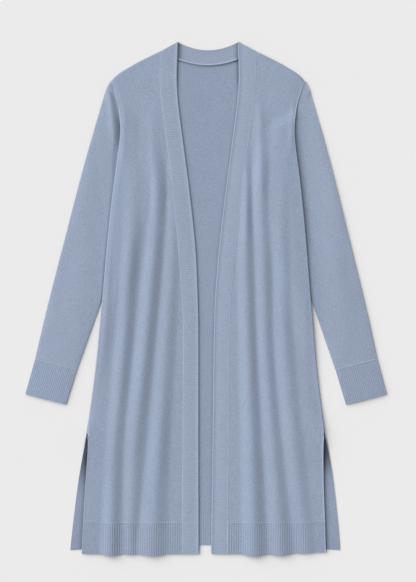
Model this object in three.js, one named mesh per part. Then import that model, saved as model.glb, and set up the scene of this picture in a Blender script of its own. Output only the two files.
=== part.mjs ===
// An open-front duster cardigan in fine knit, laid flat with its fronts upward.
// Millimetres, +Z up from the surface it lies on, +Y towards the neck.
// "left" and "right" are as seen from above, with the neck at the top.
// A place on the garment is written as "half" (distance from its own centre line) and y (height).
import * as THREE from "three";

// Driving sizes
const CLOTH = 1.6; // one thickness of the body knit
const BAND_CLOTH = 2.2; // the front band is knitted double
const SEAM = 0.36; // gap between two pieces that are sewn together
const SLANTED_SEAM = 1.3 * SEAM; // the same gap measured sideways on a slanting seam
const SHOULDER = { half: 196, y: 440 }; // shoulder point, outer end of the shoulder fold
const BAND_TOP = { half: 92, y: 498 }; // where the band's seam meets the shoulder fold
const NECK_TOP = { half: 59.7, y: 514 }; // where the band's free edge meets the shoulder fold
const UNDERARM = { half: 128.8, y: 228 }; // bottom of the armhole, hidden under the body
const ARMHOLE_FOOT = { half: 172.8, y: 344 }; // below this the body lies over the sleeve
const NECK_SEAM_Y = 467.6; // seam of the back neck at the middle
const COLLAR_Y = 498; // free edge of the band at the middle of the back neck
const SLIT_TOP_Y = -266;
const HEM_SEAM_Y = -446; // top of the ribbed hem on the fronts
const HEM_Y = -508.5; // bottom edge of the fronts
const HEM_DEPTH = 62;
const BACK_HEM_Y = -501; // bottom edge of the back at its sides
const BACK_HEM_RISE = 10; // the back is shorter at its middle
const VENT_WIDTH = 28; // plain corner beside each slit
const RIB_HEIGHT = 0.8;
const RIB_SINK = 0.3; // the furrows between the ribs lie this much lower than the plain knit
const LEAN = { shift: 2, slope: 0.006 }; // the garment lies very slightly askew

// Heights of the layers
const BAND_LOFT = 1.3; // slack between back and front beside the band
const SIDE_LOFT = 4; // the same at the side seams
const SLIT_LOFT = 3.5; // extra slack at the top of each slit
const BAND_STEP = 0.4; // how far the band stands above the front
const SLEEVE_PRESSED = 3.4; // thickness of the sleeve where the body lies on it
const SLEEVE_HEIGHT = 6.6; // and where it lies free
const CUFF_HEIGHT = 5.6;
const TUCK = 3.9; // how high the body lies where the sleeve is under it
const FRONT_ROLL_SHARE = 0.6; // the front's share of the rounded side edge
const BACK_ROLL_SHARE = 1 - FRONT_ROLL_SHARE;
const BAND_ROLL = (2 * CLOTH + SEAM + BAND_LOFT + BAND_STEP) / 2; // radius of its turn over the shoulder

// Half widths of the body, a row for each height. Below the slit the front and back part.
const SIDE = [
  { y: -509, front: 244, back: 268.5 },
  { y: -482, front: 243, back: 267 },
  { y: -434, front: 241.5, back: 262.5 },
  { y: -386, front: 239.5, back: 257 },
  { y: -338, front: 237.5, back: 251 },
  { y: -290, front: 236.2, back: 243.5 },
  { y: -266, front: 237, back: 238 },
  { y: -218, front: 231, back: 231 },
  { y: -122, front: 219, back: 219 },
  { y: -2, front: 208.5, back: 208.5 },
  { y: 118, front: 198.4, back: 198.4 },
  { y: 200, front: 190.2, back: 190.2 },
  { y: 250, front: 184.2, back: 184.2 },
  { y: 292, front: 178.4, back: 178.4 },
  { y: 320, front: 174.8, back: 174.8 },
  { y: 344, front: 172.8, back: 172.8 },
  { y: 374, front: 173.4, back: 173.4 },
  { y: 390, front: 175.8, back: 175.8 },
  { y: 410, front: 180.8, back: 180.8 },
  { y: 423, front: 188, back: 188 },
  { y: 436, front: 196, back: 196 },
];

// The front band's free edge and its seam, as half widths
const BAND = [
  { y: -509, open: 12, seam: 45 },
  { y: -302, open: 13.7, seam: 45 },
  { y: -62, open: 15.3, seam: 45.5 },
  { y: -2, open: 17, seam: 47.8 },
  { y: 58, open: 20.8, seam: 52.4 },
  { y: 118, open: 25.8, seam: 58 },
  { y: 198, open: 34.8, seam: 66 },
  { y: 278, open: 44.8, seam: 75.4 },
  { y: 318, open: 49.8, seam: 81 },
  { y: 358, open: 54.8, seam: 86.6 },
  { y: 398, open: 59.3, seam: 92 },
  { y: 438, open: 61.6, seam: 95 },
  { y: 478, open: 60.9, seam: 94.6 },
  { y: 496, open: 60.3, seam: 92.2 },
  { y: 514, open: 59.7, seam: 92 },
];

// The shoulder fold, by half width
const SHOULDER_FOLD = [
  { half: 59.7, y: 514 },
  { half: 92, y: 498 },
  { half: 134, y: 478 },
  { half: 164, y: 462 },
  { half: 180, y: 453 },
  { half: 190, y: 445.5 },
  { half: 196, y: 440 },
];

// The sleeve's outer fold from the shoulder point to the seam of the cuff, by share of the sleeve's length
const SLEEVE_OUTER = [
  { share: 0, half: 196, y: 436 },
  { share: 0.03, half: 203.5, y: 419 },
  { share: 0.12, half: 219, y: 366 },
  { share: 0.3, half: 248, y: 263 },
  { share: 0.55, half: 284.5, y: 120 },
  { share: 0.8, half: 317.5, y: -12 },
  { share: 1, half: 342, y: -118.5 },
];
const SLEEVE_INNER_FOOT = { half: 262, y: -140.5 };
const CUFF_FOOT = { outer: { half: 361.3, y: -189 }, inner: { half: 279.6, y: -210 } };

// Folds of the two fronts, each by height: where its crest runs, its half width and its rise
const FOLDS = {
  left: [
    [
      { y: -490, crest: 189, reach: 24, rise: 7 },
      { y: -300, crest: 182.5, reach: 22, rise: 4.5 },
      { y: -100, crest: 166, reach: 22, rise: 6 },
      { y: 80, crest: 153.5, reach: 22, rise: 5 },
      { y: 200, crest: 148, reach: 24, rise: 2 },
      { y: 330, crest: 147.5, reach: 24, rise: 0 },
    ],
    [
      { y: -490, crest: 149, reach: 16, rise: 2.5 },
      { y: -300, crest: 142, reach: 24, rise: 5 },
      { y: -100, crest: 123, reach: 24, rise: 7 },
      { y: 80, crest: 107.5, reach: 24, rise: 7 },
      { y: 200, crest: 99.5, reach: 21, rise: 5 },
      { y: 330, crest: 105.5, reach: 23, rise: 1.5 },
      { y: 400, crest: 107, reach: 23, rise: 0 },
    ],
    [
      { y: -490, crest: 106, reach: 36, rise: 6.5 },
      { y: -300, crest: 94, reach: 26, rise: 6 },
      { y: -100, crest: 81, reach: 24, rise: 4.5 },
      { y: 80, crest: 70.5, reach: 20, rise: 3 },
      { y: 200, crest: 68, reach: 17, rise: 1 },
      { y: 300, crest: 68.5, reach: 14, rise: 0 },
    ],
  ],
  right: [
    [
      { y: -490, crest: 98, reach: 30, rise: 7 },
      { y: -300, crest: 91.5, reach: 26, rise: 6.5 },
      { y: -100, crest: 83.5, reach: 22, rise: 5.5 },
      { y: 80, crest: 77.5, reach: 20, rise: 4.5 },
      { y: 200, crest: 78, reach: 14, rise: 2.5 },
      { y: 300, crest: 76, reach: 14, rise: 0 },
    ],
    [
      { y: -490, crest: 151, reach: 28, rise: 6 },
      { y: -300, crest: 134.5, reach: 23, rise: 4.5 },
      { y: -100, crest: 118.5, reach: 20, rise: 4 },
      { y: 80, crest: 112.5, reach: 20, rise: 4 },
      { y: 200, crest: 106.5, reach: 18, rise: 3.5 },
      { y: 330, crest: 108.5, reach: 22, rise: 1.5 },
      { y: 400, crest: 110, reach: 22, rise: 0 },
    ],
    [
      { y: -490, crest: 201, reach: 24, rise: 2.5 },
      { y: -300, crest: 177, reach: 25, rise: 4 },
      { y: -100, crest: 156.5, reach: 24, rise: 4 },
      { y: 80, crest: 149.5, reach: 20, rise: 2.5 },
      { y: 200, crest: 146.5, reach: 22, rise: 1 },
      { y: 300, crest: 147, reach: 22, rise: 0 },
    ],
  ],
};
const HEM_SAG = 0.7; // how much lower the hem hangs under a fold, per millimetre of its rise

// Divisions of the walls
const SIDE_ROWS = [
  -380, -320, -285, SLIT_TOP_Y - 10, SLIT_TOP_Y, -252, -220, -160, -80, 0,
  80, 150, 210, 260, 305, 330, ARMHOLE_FOOT.y, 360, 378, 395, 412,
];
const FRONT_COLUMNS = 18;
const NECK_COLUMNS = 6;
const SHOULDER_COLUMNS = 5;
const ROLL_ANGLES = [Math.PI / 4, Math.PI / 2];
const SLEEVE_ROWS = [0, 0.025, 0.06, 0.12, 0.2, 0.3, 0.42, 0.55, 0.7, 0.85, 1];
const MOUTH_HEIGHTS = [436, 433, 412, 395, 378, 360, 344, 315, 285, 255, 232, 228];
const CUFF_ROWS = [0.006, 0.5, 1];
const CUFF_RIBS = 24; // on one face, 3.5 mm from rib to rib
const CUFF_UNDERSIDE = [0.98, 0.8, 0.5, 0.2, 0.02];
const FRONT_HEM_ROWS = [0, 0.5, 1];
const BACK_HEM_ROWS = [0, 1];
const FRONT_RIBS = 37; // 4.6 mm from rib to rib
const BACK_RIBS = 103;
const BAND_SECTION = [
  { q: 0, raised: -0.7 },
  { q: 0.07, raised: 0 },
  { q: 0.3, raised: 0.15 },
  { q: 0.7, raised: 0.15 },
  { q: 0.94, raised: 0 },
  { q: 1, raised: -0.25 },
];
const BAND_TURNS = [1, 2, 3].map((step) => (step * Math.PI) / 4);
const RIDGE = { half: 58, width: 3, lift: 0.3, edge: 0.5, height: 0.8, steps: 8 };

// Materials
const material = (color, roughness) =>
  new THREE.MeshStandardMaterial({ color, roughness, metalness: 0 });
const KNIT = material(new THREE.Color(0.32, 0.385, 0.515), 0.95);
const RIB = material(new THREE.Color(0.315, 0.38, 0.51), 0.95);
const BAND_KNIT = material(new THREE.Color(0.325, 0.39, 0.52), 0.95);

// Small helpers
const lerp = THREE.MathUtils.lerp;
const smoothstep = THREE.MathUtils.smoothstep;
const range = (count) => Array.from({ length: count }, (_, i) => i);
const spaced = (from, to, steps) => range(steps + 1).map((i) => lerp(from, to, i / steps));
const centre = (y) => LEAN.shift + LEAN.slope * y;
const sideName = (side) => (side > 0 ? "right" : "left");
const between = (a, b, t) => ({ half: lerp(a.half, b.half, t), y: lerp(a.y, b.y, t) });

// A garment place turned into a point of the part
const place = (side, half, y, z) => [centre(y) + side * half, y, z];

// Smooth value of one column of a table, by another column that rises from row to row
function lookup(table, by, column, at) {
  const last = table.length - 1;
  let i = 0;
  while (i < last - 1 && at > table[i + 1][by]) i += 1;
  const row = (k) => table[Math.min(last, Math.max(0, k))];
  const [a, b, c, d] = [row(i - 1), row(i), row(i + 1), row(i + 2)];
  const tangent = (p, q) => (q[by] === p[by] ? 0 : (q[column] - p[column]) / (q[by] - p[by]));
  const span = c[by] - b[by];
  const t = THREE.MathUtils.clamp((at - b[by]) / span, 0, 1);
  const [t2, t3] = [t * t, t * t * t];
  return (
    (2 * t3 - 3 * t2 + 1) * b[column] +
    (t3 - 2 * t2 + t) * span * tangent(a, c) +
    (3 * t2 - 2 * t3) * c[column] +
    (t3 - t2) * span * tangent(b, d)
  );
}

const frontSide = (y) => lookup(SIDE, "y", "front", y);
const backSide = (y) => lookup(SIDE, "y", "back", y);
const bandOpen = (y) => lookup(BAND, "y", "open", y);
const bandSeam = (y) => lookup(BAND, "y", "seam", y);
const shoulderY = (half) => lookup(SHOULDER_FOLD, "half", "y", half);
const NECK_CORNER = { half: bandSeam(BAND_TOP.y - BAND_ROLL), y: BAND_TOP.y - BAND_ROLL };
const backNeckY = (half) => lerp(NECK_SEAM_Y, NECK_CORNER.y, (half / NECK_CORNER.half) ** 2);
const backCollarY = (half) => lerp(COLLAR_Y, NECK_TOP.y - BAND_ROLL, (half / NECK_TOP.half) ** 2);
const backHemY = (half) => BACK_HEM_Y + BACK_HEM_RISE * (1 - (half / backSide(BACK_HEM_Y)) ** 2);

// How far a place lies from the part of the sleeve that is under the body
function fromSleeve(half, y) {
  const inner = { half: SLEEVE_INNER_FOOT.half - UNDERARM.half, y: SLEEVE_INNER_FOOT.y - UNDERARM.y };
  const cap = { half: ARMHOLE_FOOT.half - UNDERARM.half, y: ARMHOLE_FOOT.y - UNDERARM.y };
  const across = (edge) =>
    ((half - UNDERARM.half) * edge.y - (y - UNDERARM.y) * edge.half) / Math.hypot(edge.half, edge.y);
  return Math.max(across(inner), -across(cap)) + Math.max(0, y - ARMHOLE_FOOT.y);
}

// Lowest surface of the body: on the floor, or lying on the sleeve
const floorUnder = (half, y) => TUCK * (1 - smoothstep(fromSleeve(half, y), 16, 60));

// How high the fold crests raise a front
function foldRise(side, half, y) {
  let rise = 0;
  for (const fold of FOLDS[sideName(side)]) {
    const off = (half - lookup(fold, "y", "crest", y)) / lookup(fold, "y", "reach", y);
    if (Math.abs(off) < 1) rise += lookup(fold, "y", "rise", y) * Math.cos((off * Math.PI) / 2) ** 2;
  }
  return rise;
}

// Slack between the back and the front
function loft(half, y) {
  const nearSlitTop = Math.exp(-(((y - SLIT_TOP_Y) / 55) ** 2));
  const atSide = SIDE_LOFT + SLIT_LOFT * nearSlitTop - 1.5 * smoothstep(SLIT_TOP_Y - y, 60, 220);
  const across = (half - bandSeam(y)) / (frontSide(y) - bandSeam(y));
  return lerp(BAND_LOFT, atSide, smoothstep(across, 0, 1));
}
const bodyHeight = (half, y) => 2 * CLOTH + SEAM + loft(half, y);
const frontTop = (side, half, y) => floorUnder(half, y) + bodyHeight(half, y) + foldRise(side, half, y);
const frontHemY = (side, half) => HEM_Y - HEM_SAG * foldRise(side, half, HEM_Y);

// Radius of a panel's share of the rounded edge
const rollRadius = (half, y, share) => share * (bodyHeight(half, y) - SEAM);

// How far each side edge is rolled towards the other: 1 at a closed side seam, 0 at a free edge
function frontSideRoll(y) {
  const closed = smoothstep(y, SLIT_TOP_Y - 10, SLIT_TOP_Y);
  return closed * lerp(1, 0.3, smoothstep(y, ARMHOLE_FOOT.y, ARMHOLE_FOOT.y + 40));
}
function backSideRoll(y) {
  const closed = 1 - smoothstep(SLIT_TOP_Y - y, 4, 90);
  return closed * (1 - smoothstep(y, ARMHOLE_FOOT.y, ARMHOLE_FOOT.y + 40));
}

// Closed solids
function makeSolid(name, surface, points, faces) {
  let volume = 0;
  const [a, b, c] = [new THREE.Vector3(), new THREE.Vector3(), new THREE.Vector3()];
  for (const [i, j, k] of faces) {
    volume += a.fromArray(points[i]).dot(b.fromArray(points[j]).cross(c.fromArray(points[k])));
  }
  const outward = volume > 0 ? faces : faces.map(([i, j, k]) => [i, k, j]);
  const geometry = new THREE.BufferGeometry();
  geometry.setAttribute("position", new THREE.Float32BufferAttribute(points.flat(), 3));
  geometry.setIndex(outward.flat());
  geometry.computeVertexNormals();
  const mesh = new THREE.Mesh(geometry, surface);
  mesh.name = name;
  return mesh;
}

// A wall between two equal grids of points; in a ringed one each row closes on itself
function makeWall(name, surface, pairs, ringed = false) {
  const [rows, columns] = [pairs.length, pairs[0].length];
  const points = [0, 1].flatMap((layer) => pairs.flatMap((row) => row.map((pair) => pair[layer])));
  const at = (layer, row, column) => (layer * rows + row) * columns + (column % columns);
  const faces = [];
  const quad = (p, q, r, s) => faces.push([p, q, r], [p, r, s]);
  const steps = ringed ? columns : columns - 1;
  for (const row of range(rows - 1)) {
    for (const column of range(steps)) {
      const corners = [[row, column], [row, column + 1], [row + 1, column + 1], [row + 1, column]];
      quad(...corners.map(([r, c]) => at(0, r, c)));
      quad(...corners.map(([r, c]) => at(1, r, c)).reverse());
    }
  }
  const end = rows - 1;
  for (const column of range(steps)) {
    quad(at(0, 0, column), at(1, 0, column), at(1, 0, column + 1), at(0, 0, column + 1));
    quad(at(0, end, column + 1), at(1, end, column + 1), at(1, end, column), at(0, end, column));
  }
  const edge = columns - 1;
  for (const row of ringed ? [] : range(rows - 1)) {
    quad(at(0, row + 1, 0), at(1, row + 1, 0), at(1, row, 0), at(0, row, 0));
    quad(at(0, row, edge), at(1, row, edge), at(1, row + 1, edge), at(0, row + 1, edge));
  }
  return makeSolid(name, surface, points, faces);
}

// One point of a panel and the point behind it. turn and tip are its angles round the side edge and
// round the shoulder fold, turned and tipped how far it follows them. up is 1 for a front, whose outer
// face looks up, and -1 for the back, whose outer face looks down.
function panelPair({ side, half, y, z, radius, turn, tip, turned, tipped, up }) {
  const level = lerp(1, Math.cos(turn), turned) * lerp(1, Math.cos(tip), tipped);
  const inset = Math.max(radius - CLOTH, 0);
  const outer = place(
    side,
    half + radius * Math.sin(turn),
    y + radius * Math.sin(tip),
    z - up * radius * (1 - level),
  );
  const inner = place(
    side,
    half + lerp(radius, inset, turned) * Math.sin(turn),
    y + lerp(radius, inset, tipped) * Math.sin(tip),
    z - up * (CLOTH + inset * (1 - level)),
  );
  return [outer, inner];
}

// Rows of a panel: its heights at the side edge, then its turn over the shoulder
const panelRows = (bottomY, topY) => [
  ...[bottomY, ...SIDE_ROWS, topY].map((y) => ({ share: (y - bottomY) / (topY - bottomY), y, tip: 0 })),
  ...ROLL_ANGLES.map((tip) => ({ share: 1, y: topY, tip })),
];

// Where the front's seam with the band has its sections; the band has its own at the same heights
const FRONT_TOP_Y = SHOULDER.y - rollRadius(SHOULDER.half, SHOULDER.y, FRONT_ROLL_SHARE);
const FRONT_NECK_Y = BAND_TOP.y - rollRadius(BAND_TOP.half, BAND_TOP.y, FRONT_ROLL_SHARE);
const frontRows = panelRows(HEM_SEAM_Y, FRONT_TOP_Y);
const seamHeights = frontRows
  .filter((row) => row.tip === 0)
  .map((row) => lerp(HEM_SEAM_Y, FRONT_NECK_Y, row.share));

function makeFront(side) {
  const columns = [
    ...spaced(0, 1, FRONT_COLUMNS).map((w) => ({ w, turn: 0 })),
    ...ROLL_ANGLES.map((turn) => ({ w: 1, turn })),
  ];
  const pairs = frontRows.map((row) =>
    columns.map(({ w, turn }) => {
      const sideRadius = rollRadius(frontSide(row.y), row.y, FRONT_ROLL_SHARE);
      const shoulderHalf = lerp(BAND_TOP.half, SHOULDER.half, w);
      const topRadius = rollRadius(shoulderHalf, SHOULDER.y, FRONT_ROLL_SHARE);
      const y = lerp(HEM_SEAM_Y, shoulderY(shoulderHalf) - topRadius, row.share);
      const seamY = lerp(HEM_SEAM_Y, FRONT_NECK_Y, row.share);
      const half = lerp(bandSeam(seamY) + SEAM / 2, frontSide(row.y) - sideRadius, w);
      return panelPair({
        side, half, y, turn, tip: row.tip, up: 1,
        z: frontTop(side, half, y),
        radius: turn > 0 ? sideRadius : topRadius,
        turned: frontSideRoll(row.y),
        tipped: 1,
      });
    }),
  );
  return makeWall(`front_${sideName(side)}`, KNIT, pairs);
}

const BACK_TOP_Y = SHOULDER.y - rollRadius(SHOULDER.half, SHOULDER.y, BACK_ROLL_SHARE);
const BACK_SEAM_SIDE_Y = BACK_HEM_Y + HEM_DEPTH;

function makeBack() {
  const topSide = backSide(BACK_TOP_Y);
  const widest = topSide - rollRadius(topSide, BACK_TOP_Y, BACK_ROLL_SHARE);
  const neck = range(NECK_COLUMNS + 1).map((i) => {
    const half = (NECK_CORNER.half * i) / NECK_COLUMNS;
    return { half, topY: backNeckY(half) - SEAM, radius: 0, turn: 0, tipped: 0 };
  });
  const shoulder = range(SHOULDER_COLUMNS + 1).map((i) => {
    const w = i / SHOULDER_COLUMNS;
    const foldHalf = lerp(NECK_CORNER.half + SEAM, SHOULDER.half, w);
    const radius = rollRadius(foldHalf, SHOULDER.y, BACK_ROLL_SHARE);
    const half = lerp(NECK_CORNER.half + SEAM, widest, w);
    return { half, topY: shoulderY(foldHalf) - radius, radius, turn: 0, tipped: Math.min(1, 3 * w) };
  });
  const edge = ROLL_ANGLES.map((turn) => ({ ...shoulder[SHOULDER_COLUMNS], turn }));
  const oneSide = [...neck, ...shoulder, ...edge];
  const columns = [
    ...oneSide.slice(1).reverse().map((column) => ({ ...column, side: -1 })),
    ...oneSide.map((column) => ({ ...column, side: 1 })),
  ];
  const pairs = panelRows(BACK_SEAM_SIDE_Y, BACK_TOP_Y).map((row) =>
    columns.map((column) => {
      const sideRadius = rollRadius(backSide(row.y), row.y, BACK_ROLL_SHARE);
      const half = (column.half / widest) * (backSide(row.y) - sideRadius);
      const y = lerp(backHemY(half) + HEM_DEPTH, column.topY, row.share);
      return panelPair({
        side: column.side, half, y, turn: column.turn, tip: row.tip, up: -1,
        z: floorUnder(half, y),
        radius: column.turn > 0 ? sideRadius : column.radius,
        turned: backSideRoll(row.y),
        tipped: column.tipped,
      });
    }),
  );
  return makeWall("back", KNIT, pairs);
}

// Height of a rib or furrow over the plain knit
const ribRise = (column) => (column % 2 ? RIB_HEIGHT : 0) - RIB_SINK;

// A flat piece between two edges: outline gives a place for a share across and a share down, and layers
// the heights of its two faces there
function makeFlat(name, surface, side, across, rows, outline, layers) {
  const pairs = rows.map((down) =>
    range(across + 1).map((column) => {
      const { half, y } = outline(column / across, down);
      return layers(half, y, column).map((z) => place(side, half, y, z));
    }),
  );
  return makeWall(name, surface, pairs);
}

// Fronts' hems: ribs from the band to the plain corner, then that corner
function makeFrontHem(side) {
  const down = (half, share) => lerp(HEM_SEAM_Y - SEAM, frontHemY(side, half), share);
  const ribEnd = frontSide(HEM_Y) - VENT_WIDTH;
  const ribs = (across, share) => {
    const half = lerp(bandSeam(HEM_Y) + SEAM / 2, ribEnd - SEAM / 2, across);
    return { half, y: down(half, share) };
  };
  const corner = (across, share) => {
    const half = lerp(ribEnd + SEAM / 2, frontSide(lerp(HEM_SEAM_Y, HEM_Y, share)), across);
    return { half, y: down(half, share) };
  };
  const top = (half, y) => frontTop(side, half, y);
  const ribLayers = (half, y, column) => [top(half, y) + ribRise(column), top(half, y) - CLOTH];
  const plainLayers = (half, y) => [top(half, y), top(half, y) - CLOTH];
  return [
    makeFlat(`front_${sideName(side)}_hem`, RIB, side, 2 * FRONT_RIBS, FRONT_HEM_ROWS, ribs, ribLayers),
    makeFlat(`front_${sideName(side)}_corner`, KNIT, side, 4, FRONT_HEM_ROWS, corner, plainLayers),
  ];
}

// The back's hem shows its ribs upward; its underside rests flat
function makeBackHem() {
  const down = (half, share) => backHemY(half) + lerp(HEM_DEPTH - SEAM, 0, share);
  const ribEnd = (share) => backSide(lerp(BACK_HEM_Y + HEM_DEPTH, BACK_HEM_Y, share)) - VENT_WIDTH;
  const ribs = (across, share) => {
    const half = (ribEnd(share) - SEAM / 2) * (2 * across - 1);
    return { half, y: down(half, share) };
  };
  const corner = (across, share) => {
    const half = ribEnd(share) + lerp(SEAM / 2, VENT_WIDTH, across);
    return { half, y: down(half, share) };
  };
  const ribLayers = (half, y, column) => [CLOTH + ribRise(column), 0];
  const hem = makeFlat("back_hem", RIB, 1, 2 * BACK_RIBS, BACK_HEM_ROWS, ribs, ribLayers);
  const corners = [1, -1].map((side) =>
    makeFlat(`back_${sideName(side)}_corner`, KNIT, side, 2, BACK_HEM_ROWS, corner, () => [CLOTH, 0]),
  );
  return [hem, ...corners];
}

// The flattened tube of a sleeve or cuff. around is the share from its outer fold to its inner one.
const overProfile = (around) => Math.max(0, 4 * around * (1 - around)) ** 0.175;
const underProfile = (around) => Math.min(1, 1.2 * Math.max(0, 4 * around * (1 - around)) ** 0.15);

function tubePair(side, outerEdge, innerEdge, around, over, height, bend, raised) {
  const width = Math.hypot(outerEdge.half - innerEdge.half, outerEdge.y - innerEdge.y);
  const inset = CLOTH / width;
  const level = (over ? overProfile(around) : -underProfile(around)) / 2;
  const at = (share, z) => {
    const spot = between(outerEdge, innerEdge, share);
    return place(side, spot.half + bend.half, spot.y + bend.y, z);
  };
  return [
    at(around, height / 2 + level * height + raised),
    at(lerp(inset, 1 - inset, around), height / 2 + level * (height - 2 * CLOTH)),
  ];
}

// Mouth of the sleeve: beside the body's edge down to the foot of the armhole, then under the body
function mouthHalf(y) {
  if (y >= ARMHOLE_FOOT.y) return frontSide(y) + SLANTED_SEAM;
  const share = (y - UNDERARM.y) / (ARMHOLE_FOOT.y - UNDERARM.y);
  return lerp(UNDERARM.half, frontSide(ARMHOLE_FOOT.y) + SLANTED_SEAM, share);
}

function sleeveHeight(half, y, share) {
  const beside = smoothstep(half - frontSide(y), 2, 30);
  const above = smoothstep(y, ARMHOLE_FOOT.y, ARMHOLE_FOOT.y + 36);
  const free = lerp(SLEEVE_PRESSED, SLEEVE_HEIGHT, Math.max(beside, above));
  return lerp(free, CUFF_HEIGHT, smoothstep(share, 0.85, 1) * beside);
}

function makeSleeve(side) {
  const mouth = MOUTH_HEIGHTS.map((y) => {
    return { around: (MOUTH_HEIGHTS[0] - y) / (MOUTH_HEIGHTS[0] - UNDERARM.y), y, half: mouthHalf(y) };
  });
  const ring = [
    ...mouth.map((spot) => ({ ...spot, over: true })),
    ...mouth.slice(1, -1).reverse().map((spot) => ({ ...spot, over: false })),
  ];
  const pairs = SLEEVE_ROWS.map((share) => {
    const outerEdge = {
      half: lookup(SLEEVE_OUTER, "share", "half", share) + SLANTED_SEAM * (1 - share),
      y: lookup(SLEEVE_OUTER, "share", "y", share),
    };
    const innerEdge = between(UNDERARM, SLEEVE_INNER_FOOT, share);
    const fading = (1 - share) ** 6;
    return ring.map(({ around, half, y, over }) => {
      const chord = between(mouth[0], mouth[mouth.length - 1], around);
      const bend = { half: (half - chord.half) * fading, y: (y - chord.y) * fading };
      const spot = between(outerEdge, innerEdge, around);
      const height = sleeveHeight(spot.half + bend.half, spot.y + bend.y, share);
      return tubePair(side, outerEdge, innerEdge, around, over, height, bend, 0);
    });
  });
  return makeWall(`sleeve_${sideName(side)}`, KNIT, pairs, true);
}

function makeCuff(side) {
  const outerSeam = SLEEVE_OUTER[SLEEVE_OUTER.length - 1];
  const ring = [
    ...range(2 * CUFF_RIBS + 1).map((column) => ({ around: column / (2 * CUFF_RIBS), over: true, column })),
    ...CUFF_UNDERSIDE.map((around) => ({ around, over: false })),
  ];
  const pairs = CUFF_ROWS.map((share) => {
    const outerEdge = between(outerSeam, CUFF_FOOT.outer, share);
    const innerEdge = between(SLEEVE_INNER_FOOT, CUFF_FOOT.inner, share);
    const none = { half: 0, y: 0 };
    return ring.map(({ around, over, column }) => {
      const atFold = around === 0 || around === 1;
      const raised = over && !atFold ? ribRise(column) : 0;
      return tubePair(side, outerEdge, innerEdge, around, over, CUFF_HEIGHT, none, raised);
    });
  });
  return makeWall(`cuff_${sideName(side)}`, RIB, pairs, true);
}

// The band in one length: up the left front, round the back neck and down the right front
function makeBand() {
  const skew = (y) => (NECK_TOP.y - BAND_TOP.y) * smoothstep(y, 400, NECK_CORNER.y);
  const legEdges = (y) => ({
    free: { half: bandOpen(y + skew(y)), y: y + skew(y) },
    seam: { half: bandSeam(y) - SEAM / 2, y },
  });
  const leg = (side) => (y) =>
    BAND_SECTION.map(({ q, raised }) => {
      const { free, seam } = legEdges(y);
      const spot = between(free, seam, q);
      const z = 2 * BAND_ROLL + q * foldRise(side, bandSeam(y), y);
      return [place(side, spot.half, spot.y, z + raised), place(side, spot.half, spot.y, z - BAND_CLOTH)];
    });
  const turnOver = (side) => (angle) =>
    BAND_SECTION.map(({ q, raised }) => {
      const { free, seam } = legEdges(NECK_CORNER.y);
      const spot = between(free, seam, q);
      return [BAND_ROLL + raised, BAND_ROLL - BAND_CLOTH].map((radius) =>
        place(side, spot.half, spot.y + radius * Math.sin(angle), BAND_ROLL + radius * Math.cos(angle)),
      );
    });
  const behind = (u) =>
    BAND_SECTION.map(({ q, raised }) => {
      const corner = legEdges(NECK_CORNER.y);
      const free = { half: corner.free.half * u, y: backCollarY(corner.free.half * u) };
      const seam = { half: corner.seam.half * u, y: backNeckY(corner.seam.half * u) };
      const spot = between(free, seam, q);
      return [Math.max(0, -raised), BAND_CLOTH].map((z) => place(1, spot.half, spot.y, z));
    });
  const legHeights = [HEM_Y, lerp(HEM_Y, HEM_SEAM_Y, 0.5), ...seamHeights, NECK_CORNER.y];
  const acrossNeck = range(2 * NECK_COLUMNS + 1).map((i) => i / NECK_COLUMNS - 1);
  const pairs = [
    ...legHeights.map(leg(-1)),
    ...BAND_TURNS.map(turnOver(-1)),
    ...acrossNeck.map(behind),
    ...[...BAND_TURNS].reverse().map(turnOver(1)),
    ...[...legHeights].reverse().map(leg(1)),
  ];
  return makeWall("front_band", BAND_KNIT, pairs);
}

// Rolled seam that stands up inside the back neck
function makeNeckRidge() {
  const floor = BAND_CLOTH + RIDGE.lift;
  const pairs = range(2 * RIDGE.steps + 1).map((i) => {
    const half = RIDGE.half * (i / RIDGE.steps - 1);
    return spaced(0, 1, 4).map((q) => {
      const y = backNeckY(half) + SEAM + RIDGE.width * q;
      const top = floor + RIDGE.edge + RIDGE.height * Math.sin(Math.PI * q);
      return [place(1, half, y, top), place(1, half, y, floor)];
    });
  });
  return makeWall("back_neck_ridge", BAND_KNIT, pairs);
}

const parts = new THREE.Group();
parts.add(makeBack(), ...makeBackHem(), makeBand(), makeNeckRidge());
for (const side of [1, -1]) {
  parts.add(makeFront(side), ...makeFrontHem(side), makeSleeve(side), makeCuff(side));
}

// The origin is the middle of the whole outline, on the surface the garment lies on
const middle = new THREE.Box3().setFromObject(parts).getCenter(new THREE.Vector3());
for (const mesh of parts.children) mesh.geometry.translate(-middle.x, -middle.y, 0);

export default parts;
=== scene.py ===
import math

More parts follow.
